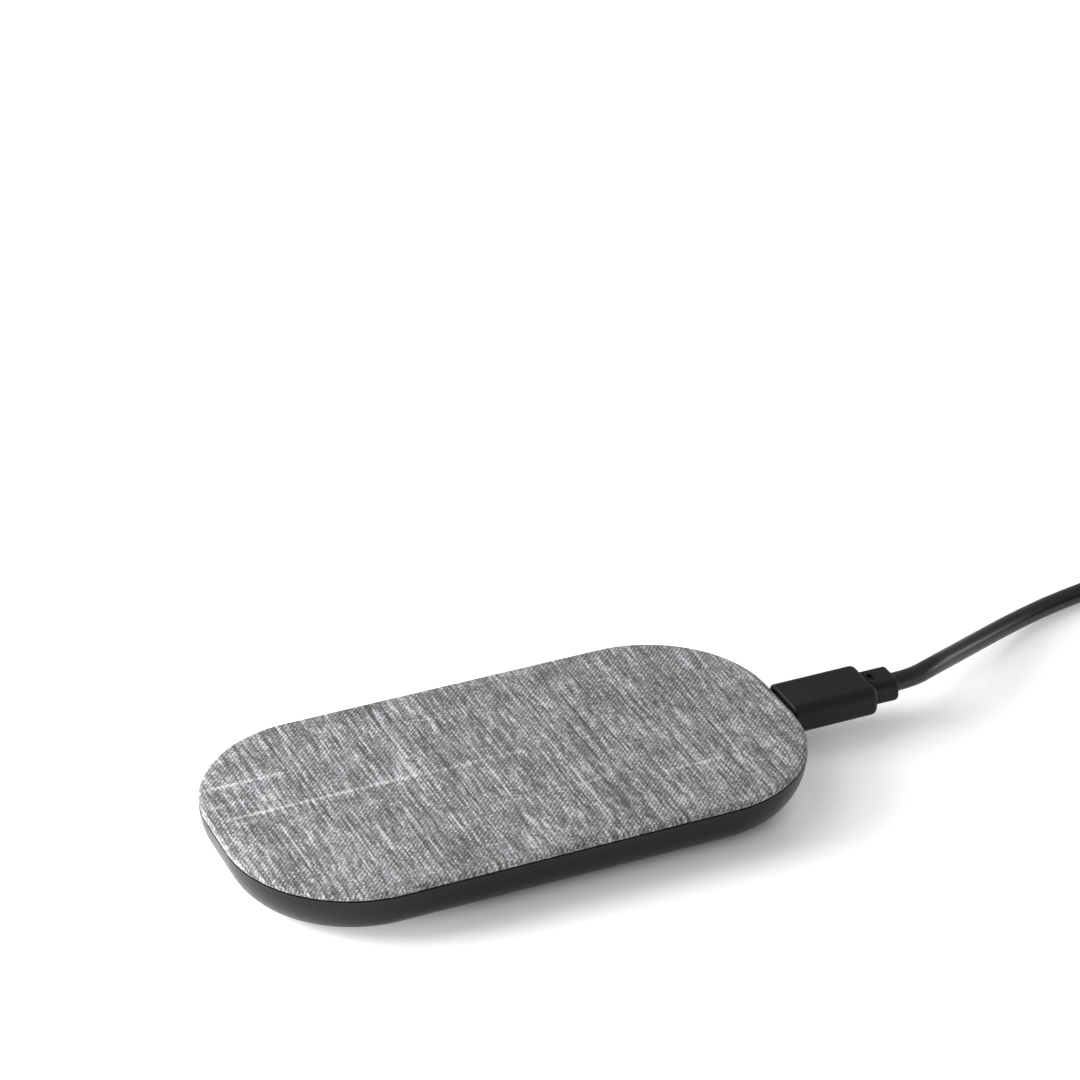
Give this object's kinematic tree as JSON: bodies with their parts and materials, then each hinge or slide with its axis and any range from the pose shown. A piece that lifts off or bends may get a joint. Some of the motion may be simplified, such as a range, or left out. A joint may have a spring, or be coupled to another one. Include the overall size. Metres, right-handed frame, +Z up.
{
  "type": "wireless charging pad",
  "caption": "Flat rounded-rectangle wireless charging pad with a heathered fabric top, a dark bowl-shaped shell and its USB cable plugged into one end.",
  "frame": {"origin": "on the resting surface, under the middle of the pad (the cable is left out of that middle)", "axes": "+X along the pad towards the charging port and the cable, +Y across the pad, +Z up through the charging surface"},
  "size_m": [0.2243, 0.0758, 0.0092],
  "materials": {
    "heather_fabric": "matt heathered weave",
    "black_shell": "satin fine texture",
    "inner_plastic": "matt",
    "foot_rubber": "matt",
    "screw_steel": "zinc plated",
    "copper_litz": "enamelled",
    "ferrite": "satin",
    "adhesive": "translucent",
    "foam": "open foam",
    "pcb_green": "solder mask",
    "chip_epoxy": "matt",
    "capacitor_ceramic": "satin",
    "led_lens": "clear",
    "connector_steel": "plated",
    "contact_gold": "plated",
    "connector_plastic": "matt",
    "plug_black": "satin moulded",
    "cord_jacket": "satin",
    "tie_strap": "hook and loop",
    "usb_a_white": "matt",
    "lead_enamel": "enamelled"
  },
  "bodies": {
    "pad": {"fabric_cover": "heather_fabric", "top_plate": "inner_plastic", "bottom_shell": "black_shell", "rubber_feet": "foot_rubber", "case_screws": "screw_steel", "coil_adhesive": "adhesive", "transmitter_coil": "copper_litz", "ferrite_shield": "ferrite", "support_foam": "foam", "thermistor": "adhesive", "circuit_board": "pcb_green", "board_screws": "screw_steel", "usb_port_shell": "connector_steel", "usb_port_tongue": "connector_plastic", "usb_port_contacts": "contact_gold", "controller_chip": "chip_epoxy", "bridge_transistors": "chip_epoxy", "resonance_capacitors": "capacitor_ceramic", "filter_inductor": "chip_epoxy", "chip_passives": "capacitor_ceramic", "status_led": "led_lens", "led_light_guide": "led_lens", "coil_leads": "lead_enamel"},
    "cable": {"plug_overmold": "plug_black", "plug_shell": "connector_steel", "plug_insert": "connector_plastic", "plug_contacts": "contact_gold", "plug_collar": "plug_black", "cable_lead": "cord_jacket", "cable_coil": "cord_jacket", "cable_tail": "cord_jacket", "cable_tie": "tie_strap", "usb_a_overmold": "plug_black", "usb_a_collar": "plug_black", "usb_a_shell": "connector_steel", "usb_a_tongue": "usb_a_white", "usb_a_contacts": "contact_gold"}
  },
  "joints": [
    {"name": "plug_slide", "type": "slide", "parent": "pad", "child": "cable", "axis": [1, 0, 0], "range_m": [0, 0.012]}
  ]
}
